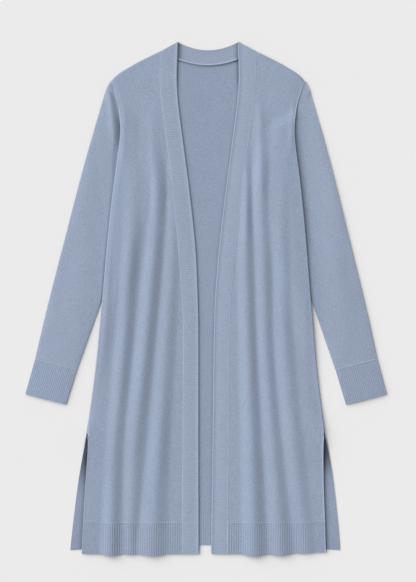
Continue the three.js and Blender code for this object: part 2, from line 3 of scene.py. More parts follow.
import bpy
import numpy as np
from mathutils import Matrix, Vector


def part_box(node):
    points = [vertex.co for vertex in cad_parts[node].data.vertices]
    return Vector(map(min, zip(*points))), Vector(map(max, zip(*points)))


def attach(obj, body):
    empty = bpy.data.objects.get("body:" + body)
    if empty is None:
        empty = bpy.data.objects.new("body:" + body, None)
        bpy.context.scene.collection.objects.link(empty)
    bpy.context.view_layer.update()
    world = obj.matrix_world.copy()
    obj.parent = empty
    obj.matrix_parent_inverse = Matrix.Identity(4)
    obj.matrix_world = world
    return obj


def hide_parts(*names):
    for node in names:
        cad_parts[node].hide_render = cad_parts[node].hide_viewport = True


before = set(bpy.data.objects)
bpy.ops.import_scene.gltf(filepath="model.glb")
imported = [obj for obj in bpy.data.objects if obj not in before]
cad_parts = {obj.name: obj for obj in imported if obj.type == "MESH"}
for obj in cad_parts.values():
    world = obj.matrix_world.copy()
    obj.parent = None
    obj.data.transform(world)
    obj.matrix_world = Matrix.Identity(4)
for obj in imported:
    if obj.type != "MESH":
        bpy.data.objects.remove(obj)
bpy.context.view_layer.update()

# An open-front duster cardigan in fine knit, laid flat with its fronts upward.
# The cut is written in millimetres, as in the solids: "half" is the distance from the garment's own
# centre line and y the height towards the neck. MM turns it into the scene's metres.
MM = 0.001

# Cloth
CLOTH = 1.6
BAND_CLOTH = 2.2
GAP = 0.36  # between the layers, and between the solids at their seams
SEAM = 0.05  # between the shells at their seams
WALE = 1.9  # width of one stitch
COURSE = 1.35  # height of one stitch

# Places
SHOULDER_HALF, SHOULDER_Y = 195.5, 436.5
BAND_TOP_HALF, BAND_TOP_Y = 92, 498
NECK_TOP_HALF, NECK_TOP_Y = 59.7, 516.5
UNDERARM_HALF, UNDERARM_Y = 128.8, 228
ARMHOLE_FOOT_HALF, ARMHOLE_FOOT_Y = 172.8, 344
SLEEVE_TOP_Y = 435.5
NECK_SEAM_Y = 467.6
COLLAR_Y = 498
SLIT_TOP_Y = -266
HEM_SEAM_Y = -446
HEM_Y = -508.5
HEM_DEPTH = 62
BACK_HEM_Y = -501
BACK_HEM_RISE = 10
VENT_WIDTH = 28
LEAN_SHIFT, LEAN_SLOPE = 2, 0.006

# Heights of the layers
BAND_LOFT = 1.3  # air under a front, beside the band
SIDE_LOFT = 2.4  # and towards its side
SIDE_EASE = {"beside_sleeve": 1.3, "below_sleeve": 2.1}  # less of it at the very edge
SIDE_EASE_REACH = {"left": 11, "right": 26}
SLIT_LOFT, SLIT_LOFT_REACH = 3.5, 55  # more air round the top of each slit
SLIT_SINK = 0.7  # and less far below it
BAND_STEP = 0.4
SLEEVE_PRESSED = 3.4
SLEEVE_HEIGHT = 6.6
CUFF_HEIGHT = 5.6
TUCK = 3.9
FRONT_ROLL_SHARE = 0.6
BACK_ROLL_SHARE = 1 - FRONT_ROLL_SHARE
BAND_ROLL = (2 * CLOTH + GAP + BAND_LOFT + BAND_STEP) / 2

# Ribs
FRONT_RIBS = 37
BACK_RIBS = 103
CUFF_RIBS = 24
RIB_HEIGHT = 0.62
CUFF_RIB_HEIGHT = 0.55
RIB_SINK = 0.1
BAND_RIB_PITCH = 5
BAND_RIB_HEIGHT = 0.5

# Half widths of the body at each height; below the slit the front and back part
SIDE = {
    "y": [-509, -482, -434, -386, -338, -290, -266, -218, -122, -2, 118,
          200, 250, 292, 320, 344, 374, 390, 410, 423, 436],
    "front": [244, 243, 241.5, 239.5, 237.5, 236.2, 237, 231, 219, 208.5, 198.4,
              190.2, 184.2, 178.4, 175.2, 174.2, 177, 179.8, 185.4, 190, 195.5],
}
SIDE["back"] = [268.5, 267, 262.5, 257, 251, 243.5, 238] + SIDE["front"][7:]
# The front band's free edge and its seam
BAND = {
    "y": [-509, -302, -62, -2, 58, 118, 198, 278, 318, 358, 398, 438, 478, 496, 514],
    "open": [12, 13.7, 15.3, 17, 20.8, 25.8, 34.8, 44.8, 49.8, 54.8, 59.3, 61.6, 60.9, 60.3, 59.7],
    "seam": [45, 45, 45.5, 47.8, 52.4, 58, 66, 75.4, 81, 86.6, 92, 95, 94.6, 92.2, 92],
}
# The shoulder fold
SHOULDER_FOLD = {
    "half": [59.7, 92, 134, 164, 180, 189, 195.5],
    "y": [514, 498, 478, 461.5, 451.5, 443.8, 436.5],
}
# The sleeve's outer fold, by share of the sleeve's length, and the two ends of its inner fold
SLEEVE_OUTER = {
    "share": [0, 0.03, 0.12, 0.3, 0.55, 0.8, 1],
    "half": [195.6, 203.2, 219, 248, 284.5, 317.5, 342],
    "y": [435.2, 419, 366, 263, 120, -12, -118.5],
}
SLEEVE_INNER_FOOT = (258.5, -140.5)
CUFF_OUTER_FOOT = (361.3, -189)
CUFF_INNER_FOOT = (279.6, -210)

# Folds of the fronts, each by height: where its crest runs, its half width and its rise
HEM_SAG = 0.56
FOLDS = {
    "left": [
        {"y": [-490, -300, -100, 80, 200, 330], "crest": [189, 182.5, 166, 153.5, 148, 147.5],
         "reach": [24, 22, 22, 22, 24, 24], "rise": [7, 4.7, 6.3, 5.3, 2.1, 0]},
        {"y": [-490, -300, -100, 80, 200, 330, 400],
         "crest": [149, 142, 123, 107.5, 99.5, 105.5, 107],
         "reach": [16, 24, 24, 24, 21, 23, 23], "rise": [2.5, 5.3, 7.4, 7.4, 5.3, 1.6, 0]},
        {"y": [-490, -300, -100, 80, 200, 300], "crest": [106, 94, 81, 70.5, 68, 68.5],
         "reach": [36, 26, 24, 20, 17, 14], "rise": [6.5, 6.3, 4.8, 3.2, 1.1, 0]},
    ],
    "right": [
        {"y": [-490, -300, -100, 80, 200, 300], "crest": [98, 91.5, 83.5, 77.5, 78, 76],
         "reach": [30, 26, 22, 20, 14, 14], "rise": [8, 7.8, 6.7, 5.6, 3.1, 0]},
        {"y": [-490, -300, -100, 80, 200, 330, 400],
         "crest": [151, 134.5, 118.5, 112.5, 106.5, 108.5, 110],
         "reach": [28, 23, 20, 20, 18, 22, 22], "rise": [6, 5.3, 4.9, 4.9, 4.3, 2, 0]},
        {"y": [-490, -300, -100, 80, 200, 300], "crest": [201, 177, 156.5, 149.5, 146.5, 147],
         "reach": [24, 25, 24, 20, 22, 22], "rise": [2.5, 4.6, 4.7, 3, 1.1, 0]},
    ],
}

# Creases placed along short lines: half and y of one end, then of the other, width and height; a height
# below 0 is a trough
CREASES = {
    "front_left": [
        (167, 375, 168, 262, 9, 1.3),
        (137, 375, 139, 262, 12, -1.2),
        (112, 372, 108, 262, 8, 0.6),
        (197, 90, 203, -150, 7, 0.8),
        (187, 70, 189, -40, 6, -0.4),
        (113, 270, 112, 165, 5, -0.7),
        (82, 265, 80, 150, 5, -0.8),
        (120, 446, 150, 418, 14, 0.5),
    ],
    "front_right": [
        (103.5, 395, 107, 225, 8, 1.8),
        (78.5, 285, 78, 130, 6, 1.1),
        (91, 285, 91, 130, 5, -0.9),
        (124, 370, 124, 230, 9, -0.7),
        (150, 300, 152, 180, 14, 0.6),
        (171, 395, 167, 300, 6.5, 1.7),
        (196, 40, 202, -130, 7, 0.6),
    ],
    "sleeve_left": [
        (197, 424, 187, 322, 7, 3),
        (236, 262, 262, 120, 12, 0.5),
        (262, 140, 300, -60, 13, -0.5),
        (222, 300, 214, 190, 10, -0.4),
        (300, -20, 330, -90, 10, 0.4),
    ],
    "sleeve_right": [
        (204, 424, 190, 366, 4.5, 1.0),
        (205, 405, 201, 365, 3.5, -0.6),
        (246, 250, 270, 110, 12, 0.5),
        (276, 120, 312, -50, 13, -0.5),
        (238, 180, 262, 40, 11, 0.4),
    ],
    "under_back": [
        (70, 330, 60, 60, 16, 0.5),
        (-40, 260, -52, -40, 18, 0.4),
        (130, 120, 150, -220, 16, 0.5),
        (-150, 60, -172, -260, 15, 0.5),
        (10, -60, 24, -330, 18, 0.35),
        (-90, 20, -104, -300, 13, 0.4),
    ],
}


# Small helpers
def lerp(a, b, t):
    return a + (b - a) * t


def smoothstep(x, low, high):
    t = np.clip((x - low) / (high - low), 0, 1)
    return t * t * (3 - 2 * t)


def bell(x, middle, reach):
    """A soft bump of height 1, and a third of that one reach away from its middle."""
    return np.exp(-(((x - middle) / reach) ** 2))


def lookup(table, by, column, at):
    """Smooth value of one column of a table, by another column that rises from row to row."""
    xs, ys = np.array(table[by], float), np.array(table[column], float)
    at = np.asarray(at, float)
    slope = np.empty_like(xs)
    slope[1:-1] = (ys[2:] - ys[:-2]) / (xs[2:] - xs[:-2])
    slope[0] = (ys[1] - ys[0]) / (xs[1] - xs[0])
    slope[-1] = (ys[-1] - ys[-2]) / (xs[-1] - xs[-2])
    i = np.clip(np.searchsorted(xs, at, side="left") - 1, 0, len(xs) - 2)
    span = xs[i + 1] - xs[i]
    t = np.clip((at - xs[i]) / span, 0, 1)
    t2, t3 = t * t, t * t * t
    return (
        (2 * t3 - 3 * t2 + 1) * ys[i]
        + (t3 - 2 * t2 + t) * span * slope[i]
        + (3 * t2 - 2 * t3) * ys[i + 1]
        + (t3 - t2) * span * slope[i + 1]
    )


def side_name(side):
    return "right" if side > 0 else "left"


def by_side(side, values):
    """The value for the side that each point is on."""
    return np.where(side > 0, values["right"], values["left"])


def centre(y):
    """The garment's centre line leans a little to the right."""
    return LEAN_SHIFT + LEAN_SLOPE * y


def front_side(y):
    return lookup(SIDE, "y", "front", y)


def back_side(y):
    return lookup(SIDE, "y", "back", y)


def band_open(y):
    return lookup(BAND, "y", "open", y)


def band_seam(y):
    return lookup(BAND, "y", "seam", y)


def shoulder_y(half):
    return lookup(SHOULDER_FOLD, "half", "y", half)


NECK_CORNER_Y = BAND_TOP_Y - BAND_ROLL
NECK_CORNER_HALF = float(band_seam(NECK_CORNER_Y))


def back_neck_y(half):
    return lerp(NECK_SEAM_Y, NECK_CORNER_Y, (half / NECK_CORNER_HALF) ** 2)


def back_collar_y(half):
    return lerp(COLLAR_Y, NECK_TOP_Y - BAND_ROLL, (half / NECK_TOP_HALF) ** 2)


def back_hem_y(half):
    return BACK_HEM_Y + BACK_HEM_RISE * (1 - (half / back_side(BACK_HEM_Y)) ** 2)


# The solids are centred on the origin; the ridge of the back neck shows how far that moved them
RIDGE_HALF, RIDGE_WIDTH, RIDGE_LIFT = 58, 3, 0.3
ridge_low, ridge_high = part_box("back_neck_ridge")
MIDDLE_X = centre(back_neck_y(RIDGE_HALF) + GAP) - (ridge_low[0] + ridge_high[0]) / 2 / MM
MIDDLE_Y = NECK_SEAM_Y + GAP - ridge_low[1] / MM


def place(side, half, y, z):
    """Garment places turned into points of the scene, in metres."""
    x = centre(y) + side * half - MIDDLE_X
    return np.stack(np.broadcast_arrays(x, y - MIDDLE_Y, z), axis=-1) * MM


def from_sleeve(half, y):
    """How far a place lies from the part of the sleeve that is under the body."""
    def across(half_run, y_run):
        turned = (half - UNDERARM_HALF) * y_run - (y - UNDERARM_Y) * half_run
        return turned / math.hypot(half_run, y_run)

    inner = across(SLEEVE_INNER_FOOT[0] - UNDERARM_HALF, SLEEVE_INNER_FOOT[1] - UNDERARM_Y)
    cap = across(ARMHOLE_FOOT_HALF - UNDERARM_HALF, ARMHOLE_FOOT_Y - UNDERARM_Y)
    return np.maximum(inner, -cap) + np.maximum(0, y - ARMHOLE_FOOT_Y)


def floor_under(half, y):
    """The body lies higher where the sleeve is tucked under it."""
    return TUCK * (1 - smoothstep(from_sleeve(half, y), 16, 60))


def fold_rise(side, half, y):
    """How high the crests of the folds raise a front."""
    total = 0
    for fold in FOLDS[side_name(side)]:
        off = (half - lookup(fold, "y", "crest", y)) / lookup(fold, "y", "reach", y)
        total = total + lookup(fold, "y", "rise", y) * np.cos(np.clip(off, -1, 1) * math.pi / 2) ** 2
    return total


def creased(piece, half, y):
    """Soft troughs and ridges of a piece, which fade out at both ends."""
    total = 0
    for half_a, y_a, half_b, y_b, width, height in CREASES[piece]:
        run_half, run_y = half_b - half_a, y_b - y_a
        length = math.hypot(run_half, run_y)
        along = ((half - half_a) * run_half + (y - y_a) * run_y) / length**2
        across = ((half - half_a) * run_y - (y - y_a) * run_half) / length
        ends = smoothstep(along, -0.25, 0.3) * (1 - smoothstep(along, 0.7, 1.25))
        total = total + height * ends * bell(across, 0, width)
    return total


def side_ease(name, half, y):
    """How much thinner the body is close to its side edge."""
    closed = smoothstep(y, SLIT_TOP_Y - 10, SLIT_TOP_Y + 60)
    most = lerp(SIDE_EASE["below_sleeve"], SIDE_EASE["beside_sleeve"], smoothstep(y, 0, 90))
    return most * closed * (1 - smoothstep(front_side(y) - half, 0, SIDE_EASE_REACH[name]))


def loft(half, y):
    """The air between the front and the back, as on the right side."""
    below = SLIT_TOP_Y - y
    at_side = SIDE_LOFT + SLIT_LOFT * bell(y, SLIT_TOP_Y, SLIT_LOFT_REACH)
    at_side = at_side - SLIT_SINK * smoothstep(below, 60, 220)
    across = (half - band_seam(y)) / (front_side(y) - band_seam(y))
    return lerp(BAND_LOFT, at_side, smoothstep(across, 0, 1)) - side_ease("right", half, y)


def body_height(half, y):
    return 2 * CLOTH + GAP + loft(half, y)


def front_top(side, half, y):
    """Height of a front's upper surface, without its creases."""
    fuller = side_ease("right", half, y) - side_ease(side_name(side), half, y)
    return floor_under(half, y) + body_height(half, y) + fold_rise(side, half, y) + fuller


HEM_CORNER_LIFT = {"left": 0, "right": 3.5}


def front_hem_y(side, half):
    """A front's lower edge sags at its folds, and the right one rises towards its corner."""
    lifted = HEM_CORNER_LIFT[side_name(side)] * smoothstep(half, 120, 235)
    return HEM_Y - HEM_SAG * fold_rise(side, half, HEM_Y) + lifted


def roll_radius(half, y, share):
    """The front and the back share the turn round the side and the shoulder."""
    return share * (body_height(half, y) - GAP)


ARMHOLE_ROLL_REACH = 40  # above the armhole's foot the side stops rolling over


def above_foot(y):
    return smoothstep(y, ARMHOLE_FOOT_Y, ARMHOLE_FOOT_Y + ARMHOLE_ROLL_REACH)


def front_side_roll(y):
    """1 where a front rolls over at its side in full, 0 along the slit."""
    closed = smoothstep(y, SLIT_TOP_Y - 10, SLIT_TOP_Y)
    return closed * lerp(1, 0.3, above_foot(y))


def back_side_roll(y):
    closed = 1 - smoothstep(SLIT_TOP_Y - y, 4, 90)
    return closed * (1 - above_foot(y))


# Meshes
SHARP_ANGLE = math.radians(48)


def add_object(name, data):
    made = bpy.data.objects.new(name, data)
    bpy.context.scene.collection.objects.link(made)
    return made


def make_mesh(name, points, quads, uv, material, shade=None):
    """A smooth mesh from quads; uv holds a place in metres for each corner of each quad."""
    mesh = bpy.data.meshes.new(name)
    mesh.vertices.add(len(points))
    mesh.vertices.foreach_set("co", np.ascontiguousarray(points, np.float32).ravel())
    mesh.loops.add(quads.size)
    mesh.loops.foreach_set("vertex_index", quads.ravel().astype(np.int32))
    mesh.polygons.add(len(quads))
    mesh.polygons.foreach_set("loop_start", np.arange(0, quads.size, 4, dtype=np.int32))
    mesh.polygons.foreach_set("use_smooth", np.ones(len(quads), bool))
    layer = mesh.uv_layers.new(name="UVMap")
    layer.data.foreach_set("uv", uv.astype(np.float32).ravel())
    # Each point's painted light and painted shade, kept in its "shade" attribute
    depth = mesh.attributes.new("shade", "FLOAT", "POINT")
    depth.data.foreach_set("value", np.ones(len(points)) if shade is None else shade.ravel())
    mesh.update(calc_edges=True)
    mesh.validate()
    mesh.set_sharp_from_angle(angle=SHARP_ANGLE)
    mesh.materials.append(material)
    return add_object(name, mesh)


def wall(name, outer, inner, u, v, material, ringed=False, shade=None):
    """A closed shell between two grids of points. u and v are the cloth's own measures in metres."""
    rows, columns = outer.shape[:2]
    steps = columns if ringed else columns - 1
    points = np.concatenate([outer.reshape(-1, 3), inner.reshape(-1, 3)])
    u, v = (np.broadcast_to(grid, (rows, steps + 1)) for grid in (u, v))
    uv_grid = np.stack([u, v], -1)

    def index(layer, row, column):
        return (layer * rows + row) * columns + column % columns

    row, column = (grid.ravel() for grid in np.mgrid[0 : rows - 1, 0:steps])
    around = [(row, column), (row, column + 1), (row + 1, column + 1), (row + 1, column)]
    quads = [[(0, r, c) for r, c in around], [(1, r, c) for r, c in around[::-1]]]
    c = np.arange(steps)
    for r, first, second in ((0, 0, 1), (rows - 1, 1, 0)):
        quads.append([(0, r, c + first), (1, r, c + first), (1, r, c + second), (0, r, c + second)])
    r = np.arange(rows - 1)
    for c, first, second in () if ringed else ((0, 1, 0), (steps, 0, 1)):
        quads.append([(0, r + first, c), (1, r + first, c), (1, r + second, c), (0, r + second, c)])
    faces = np.concatenate([np.stack([index(*corner) for corner in quad], -1) for quad in quads])
    places = np.concatenate([np.stack([uv_grid[r, c] for _, r, c in quad], 1) for quad in quads])
    a, b, c, d = (points[faces[:, k]] for k in range(4))
    volume = np.einsum("ij,ij->i", a, np.cross(b, c) + np.cross(c, d)).sum()
    if volume < 0:
        faces, places = faces[:, ::-1], places[:, ::-1]
    if shade is not None:
        shade = np.tile(np.broadcast_to(shade, (rows, columns)).ravel(), 2)
    return make_mesh(name, points, faces, places, material, shade)


def dress(piece, node):
    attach(piece, "root")
    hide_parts(node)
    return piece


# Materials
LEG_LEAN = 1.1  # courses that the leg of a stitch climbs in the width of a wale
STITCH_RELIEF, WALE_RELIEF, FIBRE_RELIEF = 0.35, -0.4, 0.7  # shares of the bump's depth
BUMP_STRENGTH = 0.5
# Scale and detail of each noise
NOISES = {"fibre": (1400, 3), "heather": (500, 2), "broad": (22, 2), "streaks": (1, 2)}
STREAKS_ACROSS, STREAKS_ALONG = 520, 70  # the streaks run along the wales
# How much each of these varies the yarn's colour; the stitches' relief paints shade into their grooves,
# and heather and streaks go with the knit's grain
STITCH_PAINTED_SHADE, BROAD_TONE = 0.05, 0.05
HEATHER_TONE, STREAK_TONE = 1.5, 0.4
FINISH = {
    "Roughness": 0.92,
    "Specular IOR Level": 0.12,
    "Sheen Weight": 0.22,
    "Sheen Roughness": 0.55,
    "Sheen Tint": (0.82, 0.87, 0.96, 1),
}


def fill(shader, values):
    for key, value in values.items():
        shader.inputs[key].default_value = value


def knit_material(name, yarn, stitch=(WALE, COURSE), depth=0.35, grain=0.45, turned=False):
    """Fine knit: columns of V stitches worked out from the cloth's own measures, with a soft nap."""
    material = bpy.data.materials.new(name)
    material.use_nodes = True
    tree = material.node_tree
    tree.nodes.clear()
    nodes, links = tree.nodes, tree.links

    def node(kind, **settings):
        made = nodes.new(kind)
        for key, value in settings.items():
            setattr(made, key, value)
        return made

    def math_node(operation, *values):
        made = node("ShaderNodeMath", operation=operation)
        for socket, value in zip(made.inputs, values):
            if isinstance(value, (int, float)):
                socket.default_value = value
            else:
                links.new(value, socket)
        return made.outputs[0]

    def times(a, b):
        return math_node("MULTIPLY", a, b)

    def noise(kind, vector):
        made = node("ShaderNodeTexNoise")
        fill(made, dict(zip(("Scale", "Detail"), NOISES[kind])))
        links.new(vector, made.inputs["Vector"])
        return made.outputs["Fac"]

    def varied(source, amount):
        return times(math_node("SUBTRACT", source, 0.5), amount)

    # Each wale is a column of stitches whose two legs lean towards its middle
    uv = node("ShaderNodeUVMap", uv_map="UVMap").outputs[0]
    split = node("ShaderNodeSeparateXYZ")
    links.new(uv, split.inputs[0])
    across, along = split.outputs[0], split.outputs[1]
    if turned:
        across, along = along, across
    wale, course = stitch
    columns = times(across, 1 / (wale * MM))
    within = math_node("SUBTRACT", math_node("FRACT", columns), 0.5)
    leg = times(math_node("ABSOLUTE", within), LEG_LEAN)
    rows = math_node("ADD", times(along, 1 / (course * MM)), leg)
    loops = math_node("COSINE", times(rows, 2 * math.pi))
    furrows = math_node("COSINE", times(within, 4 * math.pi))
    loops = times(loops, STITCH_RELIEF)
    furrows = times(furrows, WALE_RELIEF)
    lumps = math_node("ADD", loops, furrows)

    position = node("ShaderNodeTexCoord").outputs["Object"]
    fibres = times(noise("fibre", position), FIBRE_RELIEF)
    bump = node("ShaderNodeBump")
    fill(bump, {"Strength": BUMP_STRENGTH, "Distance": depth * MM})
    links.new(math_node("ADD", lumps, fibres), bump.inputs["Height"])

    # The colour is darker in the grooves of the stitches, which is painted shade, and yarn is a little
    # uneven in colour, from stitch to stitch and in broad soft areas
    streaked = node("ShaderNodeMapping")
    scale = (STREAKS_ALONG, STREAKS_ACROSS, 1) if turned else (STREAKS_ACROSS, STREAKS_ALONG, 1)
    streaked.inputs["Scale"].default_value = scale
    links.new(uv, streaked.inputs["Vector"])
    # Painted shade: the colour follows the stitches' relief, darker in their grooves and lighter on their
    # tops
    tone = math_node("ADD", times(lumps, STITCH_PAINTED_SHADE), 1.0)
    for source, amount in (
        (noise("heather", position), grain * HEATHER_TONE),
        (noise("streaks", streaked.outputs[0]), grain * STREAK_TONE),
        (noise("broad", position), BROAD_TONE),
    ):
        tone = math_node("ADD", tone, varied(source, amount))
    # Painted light and painted shade of each point, from its "shade" attribute, multiply the yarn's
    # colour
    shade = node("ShaderNodeAttribute", attribute_name="shade").outputs["Fac"]
    tint = node("ShaderNodeMixRGB", blend_type="MULTIPLY")
    fill(tint, {"Fac": 1, "Color1": (*yarn, 1)})
    links.new(times(tone, shade), tint.inputs["Color2"])

    surface = node("ShaderNodeBsdfPrincipled")
    fill(surface, FINISH)
    links.new(tint.outputs[0], surface.inputs["Base Color"])
    links.new(bump.outputs[0], surface.inputs["Normal"])
    output = node("ShaderNodeOutputMaterial")
    links.new(surface.outputs[0], output.inputs[0])
    return material


# Each knit: its yarn's colour and, where it isn't as in the body, the width and height of a stitch, the
# depth of its bump, the unevenness of its colour and whether it runs across the piece
PURL = (0.281, 0.340, 0.455)
KNITS = {
    "body_knit": {"yarn": (0.292, 0.352, 0.467)},
    "sleeve_knit": {"yarn": (0.310, 0.372, 0.490)},
    "inside_knit": {"yarn": PURL, "stitch": (COURSE, WALE), "turned": True},
    "rib_knit": {"yarn": (0.281, 0.339, 0.450)},
    "back_rib_knit": {"yarn": PURL},
    "band_knit": {
        "yarn": (0.312, 0.374, 0.490), "stitch": (1.3, 1.3), "depth": 0.25, "grain": 0.3, "turned": True},
    # The linking stitches and the rolled neck seam are raised; their lighter yarn is a painted highlight
    # along them
    "linking_thread": {"yarn": (0.42, 0.485, 0.60), "stitch": (0.8, 0.8), "depth": 0.15, "grain": 0.1},
    "ridge_knit": {"yarn": (0.47, 0.53, 0.63), "stitch": (0.8, 0.8), "depth": 0.15, "grain": 0.1},
}
KNIT = {name: knit_material(name, **row) for name, row in KNITS.items()}


# Panels
SQUARE_TURN = 0.45  # the side that faces away from the light turns more tightly


def panel_pair(side, half, y, z, radius, turn, tip, turned, tipped, up):
    """Outer and inner points of a panel whose edges turn round the side and round the shoulder."""
    square = np.where((side > 0) & (turn > 0), SQUARE_TURN, 1.0)
    out, down = np.sin(turn) ** square, np.maximum(np.cos(turn), 0) ** square
    level = lerp(1, down, turned) * lerp(1, np.cos(tip), tipped)
    inset = np.maximum(radius - CLOTH, 0)
    outer = place(side, half + radius * out, y + radius * np.sin(tip), z - up * radius * (1 - level))
    inner = place(
        side,
        half + lerp(radius, inset, turned) * out,
        y + lerp(radius, inset, tipped) * np.sin(tip),
        z - up * (CLOTH + inset * (1 - level)),
    )
    return outer, inner


QUARTER_TURN = np.linspace(0, math.pi / 2, 8)[1:]
FRONT_TOP_Y = SHOULDER_Y - float(roll_radius(SHOULDER_HALF, SHOULDER_Y, FRONT_ROLL_SHARE))
FRONT_NECK_Y = BAND_TOP_Y - float(roll_radius(BAND_TOP_HALF, BAND_TOP_Y, FRONT_ROLL_SHARE))
BACK_TOP_Y = SHOULDER_Y - float(roll_radius(SHOULDER_HALF, SHOULDER_Y, BACK_ROLL_SHARE))
BACK_SEAM_SIDE_Y = BACK_HEM_Y + HEM_DEPTH


def panel_rows(bottom_y, top_y, count):
    """Heights at the side edge, then the turn over the shoulder."""
    y = np.linspace(bottom_y, top_y, count)
    row_y = np.concatenate([y, np.full(len(QUARTER_TURN), top_y)])[:, None]
    tip = np.concatenate([np.zeros(count), QUARTER_TURN])[:, None]
    return row_y, (row_y - bottom_y) / (top_y - bottom_y), tip


# How far the fronts' slit edges, and the back's own edges, lie outside those of the solids
SLIT_EDGE = {
    "y": [-509, -434, -386, -338, -290, -272, -267, -263],
    "left": [1.5, 0.6, 0, -1, -2.6, -2.2, -0.3, 0],
    "right": [-3.2, -3.3, -3.4, -2.8, -1.8, -1.5, -0.2, 0],
}
BACK_EDGE = {
    "y": [-501, -440, -380, -300, -262, -230],
    "left": [1, 0, -0.2, -1.6, 0, 0],
    "right": [1.6, 1.6, 1.5, 0.2, 0, 0],
}


def edge_shift(table, side, y):
    return by_side(side, {name: lookup(table, "y", name, y) for name in ("left", "right")})


# Tones, most of them painted light and painted shade: how much lighter or darker a place is, as a share
# of its yarn's colour
# Painted light on the upper part of each front, more on the left one
CHEST_PAINTED_LIGHT = {"left": 0.035, "right": 0.01}
# Painted light on the left cuff, on the side the light comes from
CUFF_PAINTED_LIGHT = {"left": 0.075, "right": 0.0}
# Painted shade on the lower right sleeve, on the side away from the light
LOWER_SLEEVE_PAINTED_SHADE = {"left": 0, "right": -0.055}
CORNER_TONE = -0.05  # beside the ribs of the hems
EDGE_PAINTED_LIGHT = 0.4  # painted light on rolled edges, which lightens those that turn away from the light
PAINTED_LIGHT_START = 0.975  # where that painted light starts on a sleeve or cuff, as a share of its width
# Shade on the back: below the rolled seam of the neck, more in its corners, and beside the fronts
NECK_LINE, NECK_LINE_REACH, NECK_CORNERS = 0.28, 3, 0.35
NECK_SIDES, NECK_SIDES_REACH = 0.42, 4.5
EDGE_LINE, EDGE_LINE_REACH = {"left": 0, "right": 0.15}, 3
NECK_DEEPEST = 0.75
# Shade on the collar behind the shoulder folds, by the distance from them
COLLAR_TONE = 0.96
COLLAR_SHADE = {"left": {"most": 0.58, "reach": 7}, "right": {"most": 0.42, "reach": 5}}
# Shade on the sleeves close beside the body, by the distance from its edge and by height
ARMHOLE_SHADE = {
    "left": {"most": 0.45, "middle": 1.5, "reach": 4, "starts": (290, 325), "ends": (345, 385)},
    "right": {"most": 0.27, "middle": 4, "reach": 7, "starts": (60, 150), "ends": (300, 352)},
}
# Shade in the slits, which fades out between two distances below their tops, and beside the fronts
SLIT_SHADE = 0.72
SLIT_SHADE_FADES = {"left": 28, "right": 25}
SLIT_SHADE_ENDS = {"left": 135, "right": 105}
SLIT_EDGE_SHADE, SLIT_EDGE_REACH = {"left": 0.32, "right": 0.3}, 6


def tube_painted_light(side, around):
    """Painted light along the long edge of a sleeve or cuff that turns away from the light."""
    away = around if side < 0 else 1 - around
    return EDGE_PAINTED_LIGHT * smoothstep(away, PAINTED_LIGHT_START, 1)


def neck_shade(side, half, y):
    """The back is in shade just below its neck seam and close beside the edges of the fronts."""
    beside = band_open(y) - half
    sides = NECK_SIDES * smoothstep(y, 405, 450) * bell(beside, 0, NECK_SIDES_REACH)
    sides = sides + by_side(side, EDGE_LINE) * bell(beside, 0.5, EDGE_LINE_REACH)
    corners = smoothstep(half, 44, 58)
    inside = 1 - smoothstep(half, NECK_CORNER_HALF - 8, NECK_CORNER_HALF)
    line = NECK_LINE + NECK_CORNERS * corners
    line = line * inside * bell(y, back_neck_y(half), NECK_LINE_REACH)
    return np.minimum(line + sides, NECK_DEEPEST)


def collar_shade(across):
    """The collar is in shade behind both shoulder folds; across runs from the garment's middle."""
    shade = COLLAR_TONE
    for side in (-1, 1):
        beside = np.maximum(NECK_TOP_HALF - side * across, 0)
        row = COLLAR_SHADE[side_name(side)]
        shade = shade - row["most"] * bell(beside, 0, row["reach"])
    return shade


def armhole_shade(side, half, y):
    """A sleeve is in shade close beside the body's edge."""
    row = ARMHOLE_SHADE[side_name(side)]
    span = smoothstep(y, *row["starts"]) * (1 - smoothstep(y, *row["ends"]))
    return row["most"] * bell(half - front_side(y), row["middle"], row["reach"]) * span


def slit_shade(side, half, y):
    """The back is deep in shade where a slit opens, and along the slit edges of both fronts."""
    outside = half - front_side(y) - edge_shift(SLIT_EDGE, side, y)
    below = SLIT_TOP_Y - y
    fades = smoothstep(below, by_side(side, SLIT_SHADE_FADES), by_side(side, SLIT_SHADE_ENDS))
    deep = smoothstep(outside, -6, -2) * (1 - fades) * smoothstep(below, -5, 3)
    beside = bell(outside, 1, SLIT_EDGE_REACH) * smoothstep(below, 20, 60)
    lowest = CORNER_TONE * smoothstep(below, 150, 240)
    return 1 - SLIT_SHADE * deep - by_side(side, SLIT_EDGE_SHADE) * beside + lowest


# Fronts and back
FRONT_ROWS, FRONT_COLUMNS = 330, 88
BACK_ROWS = 230
NECK_STEPS, FOLD_STEPS = 44, 26  # of the back, along half its neck and along each shoulder
SLOW_WRINKLES, SLIGHT_WRINKLES, BACK_WAVES = 0.22, 0.09, 0.25


def wrinkles(side, half, y):
    """Slight unevenness of the resting cloth between its folds."""
    slow = np.sin(half / 17 + side * 1.3 + y / 95) * np.sin(y / 61 + half / 140)
    slight = np.sin(half / 9.5 + y / 210 + side) * np.sin(y / 37 - half / 80 + 2 * side)
    creases = creased(f"front_{side_name(side)}", half, y)
    return SLOW_WRINKLES * slow + SLIGHT_WRINKLES * slight + creases


def front_surface(side, half, y):
    return front_top(side, half, y) + wrinkles(side, half, y)


